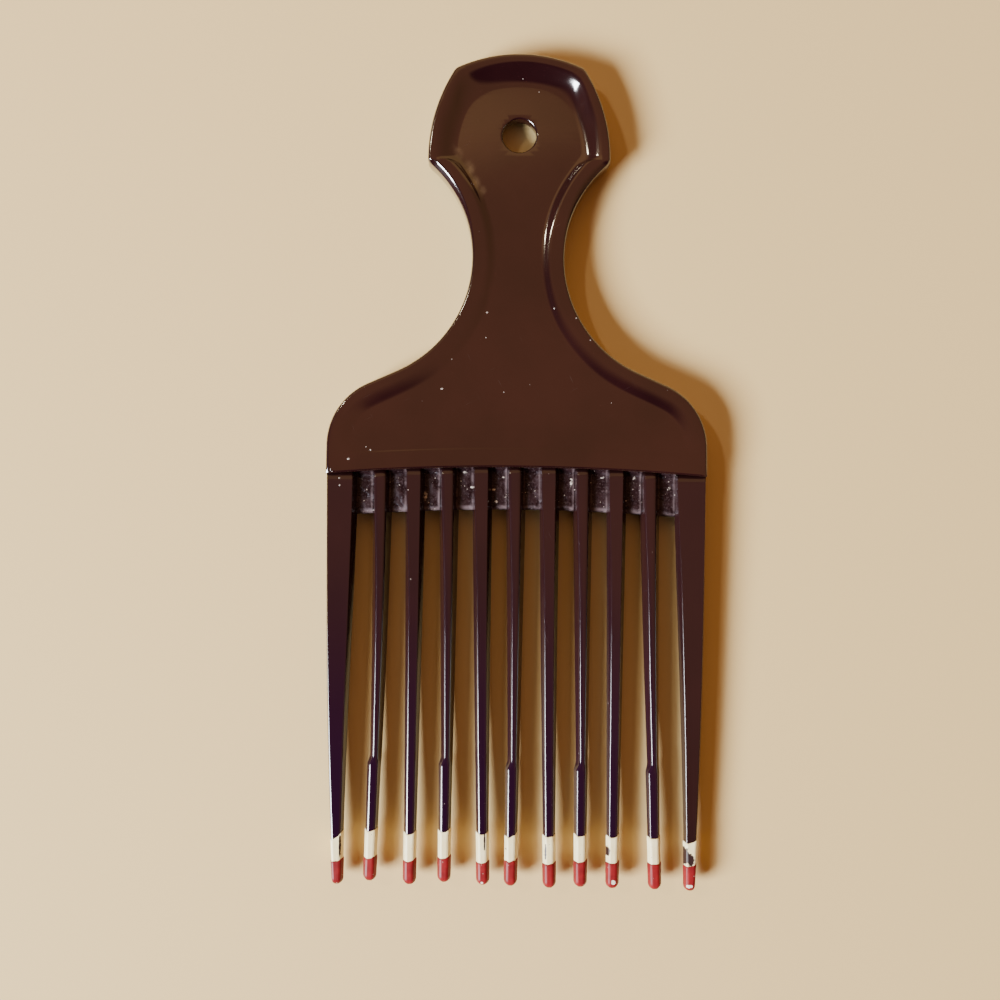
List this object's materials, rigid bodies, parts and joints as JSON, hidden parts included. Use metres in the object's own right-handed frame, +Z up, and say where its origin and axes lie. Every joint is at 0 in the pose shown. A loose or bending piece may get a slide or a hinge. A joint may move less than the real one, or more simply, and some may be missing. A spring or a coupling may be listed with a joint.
{
  "type": "afro pick",
  "caption": "Flat one-piece plastic hair pick with a dished handle, a hanging hole, and long tapering teeth between two broad guard teeth, with hand-painted tips.",
  "frame": {"origin": "middle of the outline's box, at the level of the back rims that lie on the table", "axes": "+Y along the pick towards the head with the hanging hole, teeth towards -Y; +X across the teeth, to the right seen from the front; +Z up out of the front face"},
  "size_m": [0.075, 0.1646, 0.0065],
  "materials": {
    "brown_plastic": "glossy dark brown moulding, lightly scuffed",
    "pale_paint": "hand-dipped pale cream paint",
    "red_paint": "hand-dipped crimson paint, chipped in places"
  },
  "bodies": {
    "root": {"handle": "brown_plastic", "root_web": "brown_plastic", "tooth_01": "brown_plastic", "tooth_02": "brown_plastic", "tooth_03": "brown_plastic", "tooth_04": "brown_plastic", "tooth_05": "brown_plastic", "tooth_06": "brown_plastic", "tooth_07": "brown_plastic", "tooth_08": "brown_plastic", "tooth_09": "brown_plastic", "tooth_10": "brown_plastic", "tooth_11": "brown_plastic", "base_coat_01": "pale_paint", "base_coat_02": "pale_paint", "base_coat_03": "pale_paint", "base_coat_04": "pale_paint", "base_coat_05": "pale_paint", "base_coat_06": "pale_paint", "base_coat_07": "pale_paint", "base_coat_08": "pale_paint", "base_coat_09": "pale_paint", "base_coat_10": "pale_paint", "base_coat_11": "pale_paint", "red_coat_01": "red_paint", "red_coat_02": "red_paint", "red_coat_03": "red_paint", "red_coat_04": "red_paint", "red_coat_05": "red_paint", "red_coat_06": "red_paint", "red_coat_07": "red_paint", "red_coat_08": "red_paint", "red_coat_09": "red_paint", "red_coat_10": "red_paint", "red_coat_11": "red_paint"}
  },
  "joints": []
}
